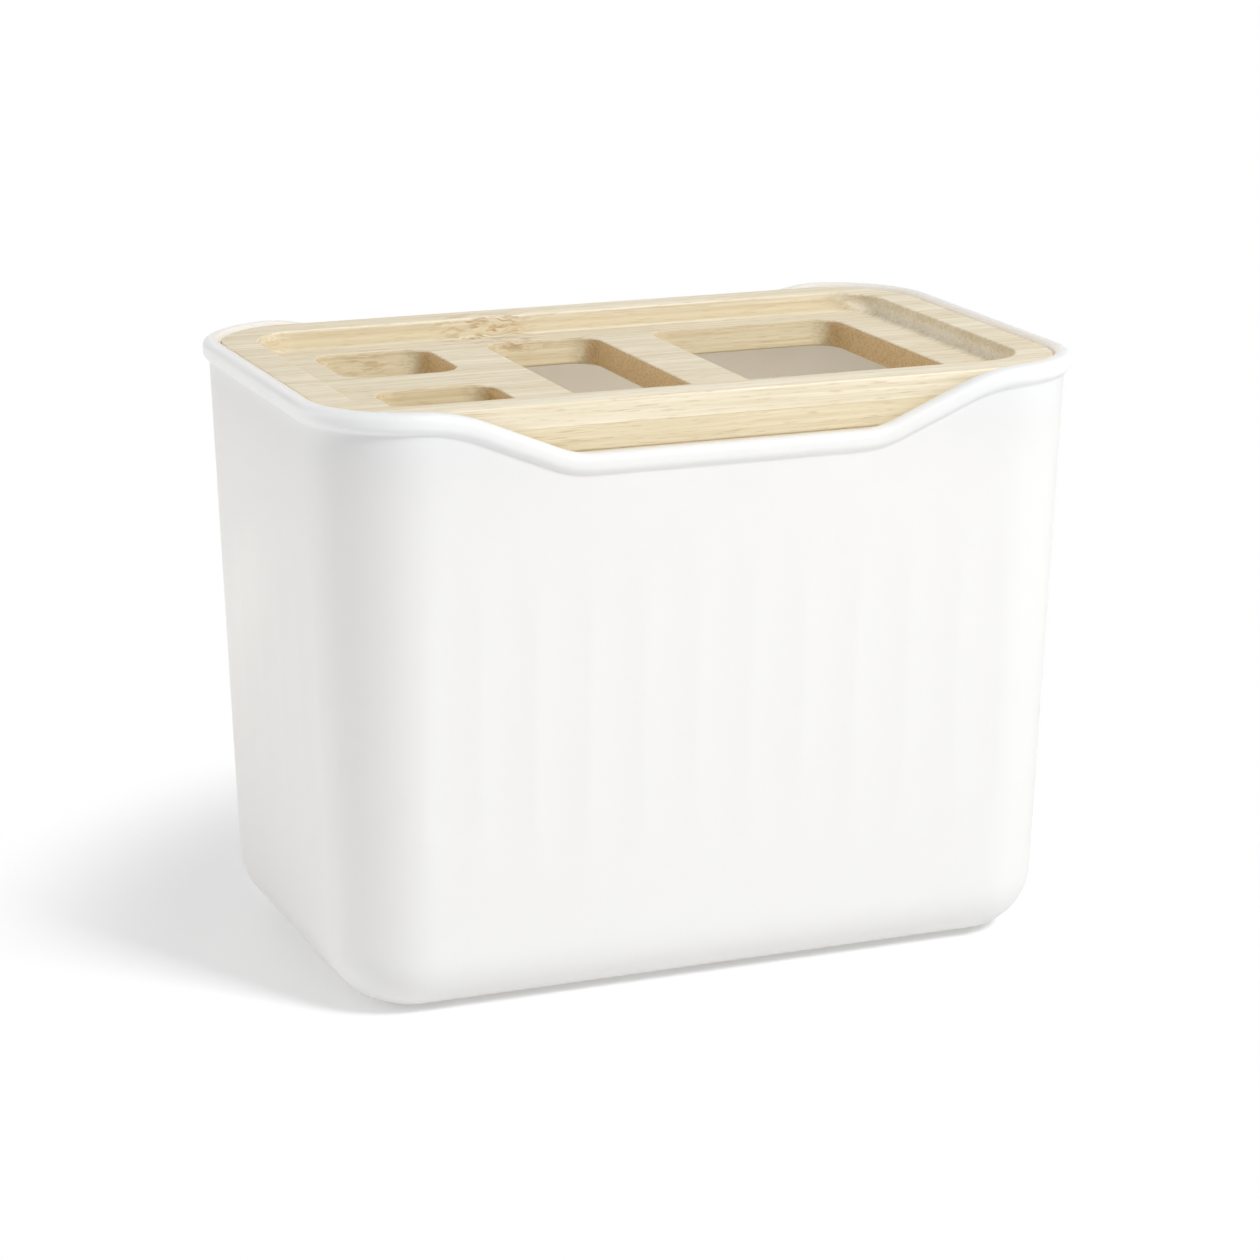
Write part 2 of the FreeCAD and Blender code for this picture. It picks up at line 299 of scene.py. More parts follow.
class Graph:
    """The node tree of a material or of the world."""

    MIX_FIRST, MIX_SECOND, MIX_RESULT = 6, 7, 2
    SEED_PATH = (1.0, 1.7, 2.3)

    def __init__(self, owner: bpy.types.Material | bpy.types.World) -> None:
        """Starts an empty tree.

        Args:
            owner: The material or world that the tree belongs to.
        """
        owner.use_nodes = True
        self.owner = owner
        self.tree = owner.node_tree
        self.tree.nodes.clear()

    def add(self, kind: str, settings: dict[str, Any], inputs: dict[Any, Any], output: Any = 0) -> Wire:
        """Adds a node, sets it up, then fills or links its sockets.

        Args:
            kind: The node's type.
            settings: The node's own properties.
            inputs: Values or wires by socket name or number.
            output: The name or number of the output that is wanted.

        Returns:
            The wanted output.
        """
        node = self.tree.nodes.new(kind)
        for key, value in settings.items():
            setattr(node, key, value)
        for key, value in inputs.items():
            if isinstance(value, Wire):
                self.tree.links.new(value.socket, node.inputs[key])
            else:
                node.inputs[key].default_value = value
        return Wire(self, node.outputs[output])

    def place(self) -> Wire:
        """The point on the piece in millimetres."""
        metres = self.add("ShaderNodeTexCoord", {}, {}, "Object")
        return self.add("ShaderNodeVectorMath", {"operation": "SCALE"}, {0: metres, "Scale": 1.0 / MM})

    def axes(self, place: Wire) -> tuple[Wire, Wire, Wire]:
        """The X, Y and Z of a place."""
        x = self.add("ShaderNodeSeparateXYZ", {}, {0: place}, "X")
        return x, x.beside("Y"), x.beside("Z")

    def normal(self) -> tuple[Wire, Wire, Wire]:
        """The X, Y and Z of the direction that the surface faces."""
        return self.axes(self.add("ShaderNodeTexCoord", {}, {}, "Normal"))

    def noise(self, place: Wire, pattern: Pattern, seed: float = 0.0) -> Wire:
        """Noise of about 0 to 1.

        Args:
            place: Where it is looked up, in millimetres.
            pattern: The kind of noise.
            seed: Moves to another stretch of the same kind.

        Returns:
            The noise's value.
        """
        shift = seed + pattern.shift
        location = tuple(shift * part for part in self.SEED_PATH)
        moved = self.add("ShaderNodeMapping", {}, {"Vector": place, "Location": location, "Scale": pattern.scale})
        return self.add("ShaderNodeTexNoise", {}, {"Vector": moved, "Scale": 1.0, "Detail": pattern.detail})

    def mix(self, factor: Any, first: Any, second: Any) -> Wire:
        """A colour between two others."""
        inputs = {"Factor": factor, self.MIX_FIRST: first, self.MIX_SECOND: second}
        return self.add("ShaderNodeMix", {"data_type": "RGBA"}, inputs, self.MIX_RESULT)

    def seen_directly(self) -> Wire:
        """1 for camera, glossy and transmission rays, and 0 for the light that falls on the object."""
        camera = self.add("ShaderNodeLightPath", {}, {}, "Is Camera Ray")
        return (camera + camera.beside("Is Glossy Ray") + camera.beside("Is Transmission Ray")).step(0.0, 1.0)

    def finish(self, shader: Wire) -> None:
        """Links a shader to the surface of the tree's owner.

        Args:
            shader: The shader's output.
        """
        kind = "World" if isinstance(self.owner, bpy.types.World) else "Material"
        output = self.tree.nodes.new(f"ShaderNodeOutput{kind}")
        self.tree.links.new(shader.socket, output.inputs["Surface"])


# Finishes


@dataclass(frozen=True)
class SatinPlastic:
    """Moulded white plastic with a fine spark-eroded grain and a soft sheen, which lets some light through."""

    colour: Colour
    warm: Colour
    glow_through: float
    glow_tint: Colour
    clouds: Pattern = Pattern((0.03, 0.03, 0.03))
    grain: Pattern = Pattern((3.2, 3.2, 3.2), shift=4.0)
    grain_height: float = 0.006 * MM
    grain_strength: float = 0.25
    roughness: float = 0.42
    cloud_roughness: float = 0.06
    grain_roughness: float = 0.03
    refraction: float = 1.47

    def material(self, name: str) -> bpy.types.Material:
        """Builds the material.

        Args:
            name: The material's name.

        Returns:
            The new material.
        """
        material = bpy.data.materials.new(name)
        graph = Graph(material)
        place = graph.place()
        cloud, grain = graph.noise(place, self.clouds), graph.noise(place, self.grain)
        bump = graph.add("ShaderNodeBump", {}, {
            "Strength": self.grain_strength, "Distance": self.grain_height, "Height": grain})
        shader = graph.add("ShaderNodeBsdfPrincipled", {}, {
            "Base Color": graph.mix(cloud, opaque(self.colour), opaque(self.warm)),
            "Roughness": self.roughness + cloud * self.cloud_roughness + grain * self.grain_roughness,
            "IOR": self.refraction,
            "Normal": bump,
        })
        through = graph.add("ShaderNodeBsdfTranslucent", {}, {"Color": opaque(self.glow_tint)})
        graph.finish(graph.add("ShaderNodeMixShader", {}, {0: self.glow_through, 1: shader, 2: through}))
        return material


class Fibre(Enum):
    """Patterns of bamboo whose fibres run along X."""

    STRIPS = Pattern((0.004, 0.16, 0.24))
    STREAKS = Pattern((0.018, 1.2, 1.6), 5.0, 3.0)
    FIBRES = Pattern((0.07, 4.5, 5.5), shift=6.0)
    SWAY = Pattern((0.02, 0.08, 0.08), 1.0, 9.0)
    BUNDLES = Pattern((0.2, 2.8, 3.6), shift=12.0)
    CURL = Pattern((0.16, 0.3, 0.42), shift=15.0)
    PORES = Pattern((0.25, 2.2, 2.4), 3.0, 18.0)
    SCARS = Pattern((0.22, 0.9, 1.1), 3.0, 21.0)


@dataclass(frozen=True)
class Knuckle:
    """A joint in the cane, where fibres curl round a scar, in millimetres of the part's frame."""

    centre: Point
    reach: Point
    strength: float

    def nearness(self, place: tuple[Wire, Wire, Wire]) -> Wire:
        """How near a place is: the product of a bell along each axis, times the strength."""
        x, y, z = (axis.bell(middle, reach) for axis, middle, reach in zip(place, self.centre, self.reach))
        return x * y * z * self.strength


@dataclass(frozen=True)
class Bamboo:
    """Pressed bamboo with its fibres along X: a streaked ground, dark bundles, brown ends and a few knuckles.

    Places and bends are in millimetres of the part's frame, and turns are parts of the surface's direction.
    A tone is added to the way from pale to tan, and a share is how far a mark covers the ground.
    """

    pale: Colour
    tan: Colour
    bundle: Colour
    seed: float
    knuckles: tuple[Knuckle, ...] = (
        Knuckle((-18.0, 38.0, 117.0), (12.0, 7.0, 6.0), 1.0),
        Knuckle((-13.0, 31.4, 115.0), (8.0, 3.0, 2.2), 0.8),
        Knuckle((-46.0, 31.4, 113.0), (7.0, 4.0, 3.5), 0.6),
    )
    end_pale: Colour = (0.76, 0.54, 0.28)
    end_dark: Colour = (0.58, 0.37, 0.16)
    curl: Point = (14.0, 5.0, 5.0)
    sway: Span = (1.6, 0.9)
    contrast: Span = (0.3, 0.7)
    bundle_contrast: Span = (0.54, 0.72)
    scar_contrast: Span = (0.5, 0.62)
    pore_contrast: Span = (0.38, 0.66)
    front_strip: Span = (-42.0, -38.5)
    recess_floor: Span = (115.3, 116.2)
    recess_end: Span = (70.0, 74.0)
    # Where the cove's painted shade falls, and the painted light at its right end
    cove_top: Span = (118.2, 118.9)
    cove_middle: float = 0.5
    cove_width: float = 0.42
    right_turn: Span = (-0.7, -0.3)
    right_cove_painted_light: float = -0.5
    end_turn: Span = (0.5, 0.95)
    strip_tone: float = 0.3
    streak_tone: float = 0.5
    fibre_tone: float = 0.3
    inner_tone: float = 0.1
    cove_painted_shade: float = 0.85
    least_tone: float = -0.13
    bundle_share: float = 0.36
    scar_share: float = 0.7
    end_share: float = 0.85
    recess_bare: float = 0.9
    fibre_height: float = 0.03 * MM
    bump_strength: float = 0.35
    fibre_relief: float = 0.5
    streak_relief: float = 0.4
    bundle_relief: float = 0.5
    roughness: float = 0.5
    streak_roughness: float = 0.1
    bundle_roughness: float = 0.08
    end_roughness: float = 0.2
    refraction: float = 1.45
    specular: float = 0.35
    seal: float = 0.1
    seal_roughness: float = 0.42

    def material(self, name: str) -> bpy.types.Material:
        """Builds the material as a solid pattern, so that cut faces show the ends of the same fibres.

        Args:
            name: The material's name.

        Returns:
            The new material.
        """
        material = bpy.data.materials.new(name)
        graph = Graph(material)
        place = graph.place()
        x, y, z = graph.axes(place)
        sideways, _, upward = graph.normal()

        def noise(where: Wire, fibre: Fibre) -> Wire:
            """The board's own stretch of a pattern."""
            return graph.noise(where, fibre.value, self.seed)

        near: Any = 0.0
        for knuckle in self.knuckles:
            near = near + knuckle.nearness((x, y, z))
        curl = near * (noise(place, Fibre.CURL) - NOISE_MIDDLE)
        sway = noise(place, Fibre.SWAY) - NOISE_MIDDLE
        bent = graph.add("ShaderNodeCombineXYZ", {}, {
            "X": x + curl * self.curl[0],
            "Y": y + sway * self.sway[0] + curl * self.curl[1],
            "Z": z + sway * self.sway[1] + curl * self.curl[2],
        })
        strips, streaks, fibres = (noise(bent, fibre) for fibre in (Fibre.STRIPS, Fibre.STREAKS, Fibre.FIBRES))
        bundles = noise(bent, Fibre.BUNDLES).step(*self.bundle_contrast)
        scar = near * noise(bent, Fibre.SCARS).step(*self.scar_contrast)

        # Painted shade darkens the cove where the recess wall runs into the floor, and at the cove's right end the
        # same term turns into painted light. The eased edges above it are left out.
        turned = sideways.step(*self.right_turn) * (1.0 - self.right_cove_painted_light) + self.right_cove_painted_light
        cove = upward.bell(self.cove_middle, self.cove_width) * turned * (1.0 - z.step(*self.cove_top))
        tone = (
            strips.step(*self.contrast) * self.strip_tone
            + streaks.step(*self.contrast) * self.streak_tone
            + fibres * self.fibre_tone
            + y.step(*self.front_strip) * self.inner_tone
            + cove * self.cove_painted_shade
            + self.least_tone
        )
        ground = graph.mix(tone, opaque(self.pale), opaque(self.tan))
        marked = graph.mix(bundles * self.bundle_share + scar * self.scar_share, ground, opaque(self.bundle))

        # Brown end grain shows on faces square to the fibres, and hardly in the recess.
        recess = z.step(*self.recess_floor) * (1.0 - abs(x).step(*self.recess_end))
        end = abs(sideways).step(*self.end_turn) * (1.0 - recess * self.recess_bare)
        pores = noise(place, Fibre.PORES).step(*self.pore_contrast)
        ends = graph.mix(pores, opaque(self.end_pale), opaque(self.end_dark))
        height = fibres * self.fibre_relief + streaks * self.streak_relief - bundles * self.bundle_relief - scar
        bump = graph.add("ShaderNodeBump", {}, {
            "Strength": self.bump_strength, "Distance": self.fibre_height, "Height": height})
        rough = self.roughness + streaks * self.streak_roughness + bundles * self.bundle_roughness
        graph.finish(graph.add("ShaderNodeBsdfPrincipled", {}, {
            "Base Color": graph.mix(end * self.end_share, marked, ends),
            "Roughness": rough + end * self.end_roughness,
            "IOR": self.refraction,
            "Specular IOR Level": self.specular,
            "Coat Weight": self.seal,
            "Coat Roughness": self.seal_roughness,
            "Normal": bump,
        }))
        return material


# The cup


class Wall(Enum):
    """The four walls of the cup by their outward direction in plan."""

    FRONT = (0.0, -1.0)
    REAR = (0.0, 1.0)
    LEFT = (-1.0, 0.0)
    RIGHT = (1.0, 0.0)


class Zone(Enum):
    """Zones of the cup by the plastic that each shows, in the order of their material slots.

    The inside's warmer colour is painted warm light bounced from the bamboo, and it lets more light through. The wall
    above the ledge lies between it and the outside, and its colour is painted light as well.
    """

    OUTSIDE = SatinPlastic((0.895, 0.916, 0.94), (0.888, 0.907, 0.929), 0.28, (0.96, 0.963, 0.967))
    SEAT = SatinPlastic((0.985, 0.952, 0.89), (0.98, 0.945, 0.88), 0.56, (0.99, 0.967, 0.933))
    INSIDE = SatinPlastic((0.98, 0.9, 0.75), (0.97, 0.89, 0.735), 0.66, (0.99, 0.945, 0.87))

    @property
    def slot(self) -> int:
        """The number of the zone's material slot."""
        return list(Zone).index(self)


@dataclass(frozen=True)
class RimLine:
    """Height of the scooped rim over x: level crest, blend arc, slope, blend arc, level floor, and the same back."""

    crest: float
    floor: float
    floor_half: float = 31.0 * MM
    mouth_half: float = 55.5 * MM
    floor_radius: float = 18.0 * MM
    mouth_radius: float = 36.0 * MM

    def height(self, x: np.ndarray, drop: Any = 0.0) -> np.ndarray:
        """The line's height after it is lowered square to itself by a drop.

        Both corners move out by drop * tan(slope / 2), the floor's arc grows and the crest's arc shrinks by the drop.

        Args:
            x: Places along the cup.
            drop: How far the line is lowered, one number or an array that broadcasts with x.

        Returns:
            Heights, in the broadcast shape.
        """
        slope = math.atan2(self.crest - self.floor, self.mouth_half - self.floor_half)
        half = math.tan(slope / 2)
        away, drop = np.broadcast_arrays(np.abs(x), drop)
        low, high = self.floor - drop, self.crest - drop
        floor_arc, mouth_arc = self.floor_radius + drop, self.mouth_radius - drop
        floor_corner, mouth_corner = self.floor_half + half * drop, self.mouth_half + half * drop
        floor_centre = floor_corner - floor_arc * half
        mouth_centre = mouth_corner + mouth_arc * half
        dish = low + floor_arc - np.sqrt(np.maximum(floor_arc**2 - (away - floor_centre) ** 2, 0.0))
        brow = high - mouth_arc + np.sqrt(np.maximum(mouth_arc**2 - (mouth_centre - away) ** 2, 0.0))
        ramp = low + math.tan(slope) * (away - floor_corner)
        stretches = [
            away <= floor_centre,
            away <= floor_centre + floor_arc * math.sin(slope),
            away <= mouth_centre - mouth_arc * math.sin(slope),
            away <= mouth_centre,
        ]
        return np.select(stretches, [low, dish, ramp, brow], default=high)


@dataclass(frozen=True)
class Cup:
    """The moulded tub: one profile carried round a rounded rectangle, from under its base over the rim to its floor.

    A row is a spread, a reach and a height, each one number or one per column, and its points are spread * core +
    reach * direction at the height. Reach is the distance from the line of corner centres, and the outer wall's
    reach grows evenly with height.
    """

    low: Vector
    high: Vector
    ledge: float
    corner_radius: float = 16.0 * MM
    flare: float = 4.3 * MM
    foot_round: float = 13.0 * MM
    base_thickness: float = 3.0 * MM
    wall_thickness: float = 3.4 * MM
    rim_wall: float = 1.9 * MM
    bead_height: float = 4.0 * MM
    bead_proud: float = 1.2 * MM
    bead_round: float = 1.6 * MM
    neck_round: float = 0.9 * MM
    inner_round: float = 0.45 * MM
    seat_draft: float = 0.05 * MM
    flute_depth: float = 0.25 * MM
    flute_overlap: float = 2.55 * MM
    flute_start: float = 22.0 * MM
    flute_end: float = 95.0 * MM
    flute_fade: float = 18.0 * MM
    flute_facing: float = 0.5
    long_flutes: int = 11
    short_flutes: int = 5
    steps: tuple[int, int, int] = (160, 70, 26)
    base_spreads: tuple[float, ...] = (0.35, 0.7, 1.0)
    foot_steps: int = 20
    wall_count: int = 43
    neck_steps: int = 8
    roll_steps: int = 8
    crown_steps: int = 10
    inner_steps: int = 5
    seat_count: int = 5
    lip_steps: int = 4
    cavity_count: int = 20
    floor_steps: int = 14

    @property
    def lean(self) -> float:
        """The outer wall's angle from upright."""
        return math.atan2(self.flare, self.high.z)

    @property
    def seat(self) -> float:
        """Reach of the rim's inner face at its top."""
        return self.wall(self.high.z) - self.rim_wall

    def wall(self, height: Any) -> Any:
        """Reach of the plain outer wall at a height."""
        return self.corner_radius + self.flare * height / self.high.z

    def flutes(self, core: np.ndarray, direction: np.ndarray, height: np.ndarray) -> np.ndarray:
        """Depth of the flutes at each point: on a wall, depth * (fade - (2 * offset / pitch)^2) where above nothing.

        The offset is the distance from the middle of the nearest flute, the fade runs from 0 to 1 within each end,
        and round a corner the depth gives way as the wall turns from the flutes' plane.

        Args:
            core: Core points, columns x 2.
            direction: Outward directions, columns x 2.
            height: Heights, rows x columns.

        Returns:
            Depths, rows x columns.
        """
        ends = np.minimum(height - self.flute_start, self.flute_end - height) / self.flute_fade
        depth = self.flute_depth * np.clip(ends, 0.0, 1.0)
        total = np.zeros_like(height)
        for wall in Wall:
            outward = np.array(wall.value)
            along = np.abs(outward[::-1])
            count = self.long_flutes if wall in (Wall.FRONT, Wall.REAR) else self.short_flutes
            facing = direction @ outward
            reach = self.wall(height)
            place = core @ along + reach * (direction @ along)
            half_row = np.max(core @ along) + self.flute_overlap
            offset = ((place + half_row) / (2 * half_row) * count) % 1.0 - 0.5
            cut = depth - self.flute_depth * (2 * offset) ** 2 - reach * (1.0 - facing)
            fluted = (np.abs(place) < half_row) & (facing > self.flute_facing)
            total += np.where(fluted, np.maximum(cut, 0.0), 0.0)
        return total

    def bead(self) -> np.ndarray:
        """Outline of the rolled bead, going upwards.

        A hollow neck arc leaves the wall and touches the bead's lower arc, and a short flat joins that to the upper
        arc.

        Returns:
            How proud the outline is of the wall and how far below the rim line, as points x 2.
        """
        inset = self.bead_round - self.bead_proud
        lower, upper = self.bead_height - self.bead_round, self.bead_round
        gap = self.bead_round + self.neck_round
        rise = math.sqrt(gap**2 - (self.neck_round + inset) ** 2)
        lean = math.degrees(math.atan2(rise, self.neck_round + inset))
        neck = arc((self.neck_round, lower + rise), self.neck_round, 180.0, 180.0 + lean, self.neck_steps)
        roll = arc((-inset, lower), self.bead_round, lean, 0.0, self.roll_steps)
        crown = arc((-inset, upper), self.bead_round, 0.0, -90.0, self.crown_steps)
        return np.concatenate((neck, roll[1:], crown))

    def outer_rows(self, core: np.ndarray, direction: np.ndarray) -> list[Row]:
        """Rows from under the base round the foot, up the wall and over the bead to the top of the rim.

        Args:
            core: Core points, columns x 2.
            direction: Outward directions, columns x 2.

        Returns:
            The rows in order.
        """
        rim = RimLine(self.high.z, self.ledge)
        x = core[:, 0] + self.wall(self.high.z) * direction[:, 0]
        bead = self.bead()
        foot_centre = self.wall(self.foot_round) - self.foot_round / math.cos(self.lean)
        foot_end = -math.degrees(self.lean)
        foot = arc((foot_centre, self.foot_round), self.foot_round, -90.0, foot_end, self.foot_steps)
        climb = np.linspace(0.0, 1.0, self.wall_count + 2)[1:-1, None]
        wall_height = foot[-1, 1] + climb * (rim.height(x, bead[0, 1]) - foot[-1, 1])
        wall_reach = self.wall(wall_height) - self.flutes(core, direction, wall_height)
        bead_height = rim.height(x, bead[:, 1:])
        bead_reach = self.wall(bead_height) + bead[:, :1]
        middle = 0.5 * (bead_reach[-1] + self.seat + self.inner_round)
        return [
            *((spread, 0.0, self.low.z) for spread in self.base_spreads),
            *rows_of(*foot.T),
            *rows_of(wall_reach, wall_height),
            *rows_of(bead_reach, bead_height),
            (1.0, middle, bead_height[-1]),
        ]

    def seat_rows(self, crest: np.ndarray) -> list[Row]:
        """Rows from the inner edge of the rim down to the ledge, where a scoop leaves them no height.

        Args:
            crest: Heights of the rim's top, by column.

        Returns:
            The rows in order.
        """
        centre = (self.seat + self.inner_round, -self.inner_round)
        reach, fall = arc(centre, self.inner_round, 90.0, 180.0, self.inner_steps).T
        share = np.linspace(0.0, 1.0, self.seat_count + 1)[1:, None]
        edge = np.maximum(crest - self.inner_round, self.ledge)
        return [
            *rows_of(reach, np.maximum(crest + fall[:, None], self.ledge)),
            *rows_of(self.seat - self.seat_draft * share, edge + share * (self.ledge - edge)),
        ]

    def cavity_rows(self) -> list[Row]:
        """Rows from the ledge's inner edge down the inside and over the floor.

        Returns:
            The rows in order.
        """
        edge = self.wall(self.ledge) - self.wall_thickness + self.inner_round
        lip = arc((edge, self.ledge - self.inner_round), self.inner_round, 90.0, 180.0, self.lip_steps)
        radius = self.foot_round - self.wall_thickness
        height = self.base_thickness + radius
        centre = self.wall(height) - self.wall_thickness - radius / math.cos(self.lean)
        bend = arc((centre, height), radius, -math.degrees(self.lean), -90.0, self.floor_steps)
        fall = np.linspace(lip[-1, 1], bend[0, 1], self.cavity_count + 2)[1:-1]
        return [
            *rows_of(*lip.T),
            *rows_of(self.wall(fall) - self.wall_thickness, fall),
            *rows_of(*bend.T),
            *((spread, 0.0, self.base_thickness) for spread in reversed(self.base_spreads)),
        ]

    def build(self) -> bpy.types.Object:
        """Builds the tub's mesh zone by zone, each from the last row of the one before.

        Returns:
            The new object.
        """
        top_reach = self.wall(self.high.z - self.bead_round) + self.bead_proud
        core, direction = rounded_core(self.high.x - top_reach, self.high.y - top_reach, self.steps)

        def rings(rows: list[Row]) -> np.ndarray:
            """The points of rows.

            Args:
                rows: Spread, reach and height of each.

            Returns:
                Points, rows x columns x 3.
            """
            spread, reach, height = (
                np.stack([np.broadcast_to(row[part], len(core)) for row in rows]) for part in range(3))
            plan = spread[..., None] * core + reach[..., None] * direction
            return np.concatenate((plan, height[..., None]), axis=-1)

        outer = self.outer_rows(core, direction)
        seat = self.seat_rows(outer[-1][2])
        outside, inside = Zone.OUTSIDE.slot, Zone.INSIDE.slot
        surface = Surface()
        first = surface.add_rings(rings(outer), outside)
        surface.add_fan(first[0], np.array((0.0, 0.0, self.low.z)), opens=True, slot=outside)
        surface.add_rings(rings([outer[-1], *seat]), Zone.SEAT.slot)
        last = surface.add_rings(rings([seat[-1], *self.cavity_rows()]), inside)
        surface.add_fan(last[-1], np.array((0.0, 0.0, self.base_thickness)), opens=False, slot=inside)
        return surface.piece("cup_tub")

    def dress(self) -> None:
        """Builds the tub, gives its zones their finishes and puts it on its body."""
        tub = self.build()
        tub.data.materials.append(Zone.OUTSIDE.value.material("satin_white_plastic"))
        # The seat's and the inside's colours hold painted warm light
        tub.data.materials.append(Zone.SEAT.value.material("satin_white_plastic_seat"))
        tub.data.materials.append(Zone.INSIDE.value.material("satin_white_plastic_inside"))
        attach(tub, "cup")
        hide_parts("cup")


# The lid


@dataclass(frozen=True)
class Opening:
    """A rounded opening through the lid, in the middle of a cell of the board around it."""

    left: float
    right: float
    front: float
    rear: float

    def ring(self, cell: np.ndarray, radius: float, grow: float) -> np.ndarray:
        """The point of the opening's outline nearest to each point of a ring around it.

        Each point is clamped to the opening's core, the rectangle of its corner centres, and the outline's point lies
        from there at the corner radius in the direction of the ring's point.

        Args:
            cell: The ring around the opening, columns x 2.
            radius: The opening's corner radius.
            grow: How far the outline is moved into the board.

        Returns:
            Points, columns x 2.
        """
        low = np.array((self.left, self.front)) + radius
        high = np.array((self.right, self.rear)) - radius
        core = np.clip(cell, low, high)
        away = cell - core
        return core + (radius + grow) * away / np.linalg.norm(away, axis=1, keepdims=True)


@dataclass(frozen=True)
class Lid:
    """Two glued boards with a dished top, four openings through both, and eased edges.

    A start is where the plain face beyond a rounding begins, in radii of the rounding.
    """

    lower_low: Vector
    lower_high: Vector
    upper_low: Vector
    upper_high: Vector
    corner_radius: float = 17.8 * MM
    border: float = 7.5 * MM
    panel: float = 0.7 * MM
    cove: float = 2.8 * MM
    edge: float = 0.45 * MM
    seam: float = 0.05 * MM
    end_margin: float = 18.4 * MM
    side_margin: float = 15.5 * MM
    brush_width: float = 24.3 * MM
    brush_web: float = 14.0 * MM
    slot_width: float = 24.3 * MM
    web: float = 12.4 * MM
    opening_radius: float = 5.5 * MM
    cell_margin: float = 3.4 * MM
    spacing: float = 0.6 * MM
    edge_steps: int = 5
    cove_steps: int = 12
    flat_start: float = 1.4
    side_start: float = 1.3
    recess_start: float = 1.2
    cove_side_start: float = 1.05
    cove_floor_start: float = 1.1

    @property
    def half_row(self) -> float:
        """Half the length of the row of openings."""
        return self.upper_high.x - self.end_margin

    @property
    def half_span(self) -> float:
        """Half the width of the row of openings."""
        return self.upper_high.y - self.side_margin

    def openings(self) -> list[Opening]:
        """Places the openings along the lid.

        Returns:
            Two brush holes one behind the other, the tube slot and the tray opening.
        """
        brush_right = self.brush_width - self.half_row
        slot_left = brush_right + self.web
        slot_right = slot_left + self.slot_width
        web = self.brush_web / 2
        return [
            Opening(-self.half_row, brush_right, -self.half_span, -web),
            Opening(-self.half_row, brush_right, web, self.half_span),
            Opening(slot_left, slot_right, -self.half_span, self.half_span),
            Opening(slot_right + self.web, self.half_row, -self.half_span, self.half_span),
        ]

    def ticks(self, *stops: float) -> np.ndarray:
        """Places along an edge that are about one spacing apart.

        Args:
            stops: Places that have to be among them, in order.

        Returns:
            The places.
        """
        runs = []
        for start, end in zip(stops, stops[1:]):
            runs.append(np.linspace(start, end, max(2, round((end - start) / self.spacing)), endpoint=False))
        return np.concatenate((*runs, stops[-1:]))

    def cells(self) -> tuple[list[np.ndarray], np.ndarray]:
        """Rectangular rings around the openings, which tile the panel, and the ring around them all.

        Rings that share an edge have the same points along it, so that the surfaces weld.

        Returns:
            The ring of each opening, and the ring around the tiling, each columns x 2 and anticlockwise.
        """
        brush, _, slot, tray = self.openings()
        first, second = (brush.right + slot.left) / 2, (slot.right + tray.left) / 2
        end, side = self.half_row + self.cell_margin, self.half_span + self.cell_margin
        x_ticks = self.ticks(-end, first, second, end)
        y_ticks = self.ticks(-side, 0.0, side)

        def ring(left: float, right: float, front: float, rear: float) -> np.ndarray:
            """The ring of a rectangle, from its front left corner.

            Args:
                left: The rectangle's lowest X.
                right: Its highest X.
                front: Its lowest Y.
                rear: Its highest Y.

            Returns:
                Points, columns x 2.
            """
            xs = x_ticks[(x_ticks >= left - SAME_PLACE) & (x_ticks <= right + SAME_PLACE)]
            ys = y_ticks[(y_ticks >= front - SAME_PLACE) & (y_ticks <= rear + SAME_PLACE)]
            sides = (
                np.stack((xs[:-1], np.full(len(xs) - 1, ys[0])), axis=-1),
                np.stack((np.full(len(ys) - 1, xs[-1]), ys[:-1]), axis=-1),
                np.stack((xs[:0:-1], np.full(len(xs) - 1, ys[-1])), axis=-1),
                np.stack((np.full(len(ys) - 1, xs[0]), ys[:0:-1]), axis=-1),
            )
            return np.concatenate(sides)

        rings = [
            ring(-end, first, -side, 0.0),
            ring(-end, first, 0.0, side),
            ring(first, second, -side, side),
            ring(second, end, -side, side),
        ]
        return rings, ring(-end, end, -side, side)

    def board(self, name: str, hole: np.ndarray, rim: np.ndarray) -> bpy.types.Object:
        """Builds a board from an outline for its openings and one for its outside.

        Args:
            name: The object's name.
            hole: Outline down through an opening, as growth into the board and height.
            rim: Outline up round the outside, as reach from the corner centres and height.

        Returns:
            The new object.
        """
        surface = Surface()
        rings, around = self.cells()
        for opening, cell in zip(self.openings(), rings):
            rows = [(cell, hole[0, 1])]
            rows += [(opening.ring(cell, self.opening_radius, grow), height) for grow, height in hole]
            rows.append((cell, hole[-1, 1]))
            surface.add_rings(stack_rings(rows))
        outside = Opening(-self.upper_high.x, self.upper_high.x, -self.upper_high.y, self.upper_high.y)
        rows = [(around, rim[0, 1])]
        rows += [
            (outside.ring(around, self.corner_radius, reach - self.corner_radius), height) for reach, height in rim]
        rows.append((around, rim[-1, 1]))
        surface.add_rings(stack_rings(rows))
        return surface.piece(name)

    def lower_board(self) -> bpy.types.Object:
        """Builds the lower board: eased underside, and a hairline seam where the upper board is glued on.

        Returns:
            The new object.
        """
        bottom, top = self.lower_low.z, self.lower_high.z
        edge, seam, full = self.edge, self.seam, self.corner_radius
        flat, side = self.flat_start * edge, self.side_start * edge
        hole = np.concatenate((
            [(edge + seam, top), (seam, top), (0.0, top - seam), (0.0, bottom + side)],
            arc((edge, bottom + edge), edge, 180.0, 270.0, self.edge_steps),
            [(flat, bottom)]))
        rim = np.concatenate((
            [(full - flat, bottom)],
            arc((full - edge, bottom + edge), edge, -90.0, 0.0, self.edge_steps),
            [(full, bottom + side), (full, top - seam), (full - seam, top), (full - edge - seam, top)]))
        return self.board("lid_board_lower", hole, rim)

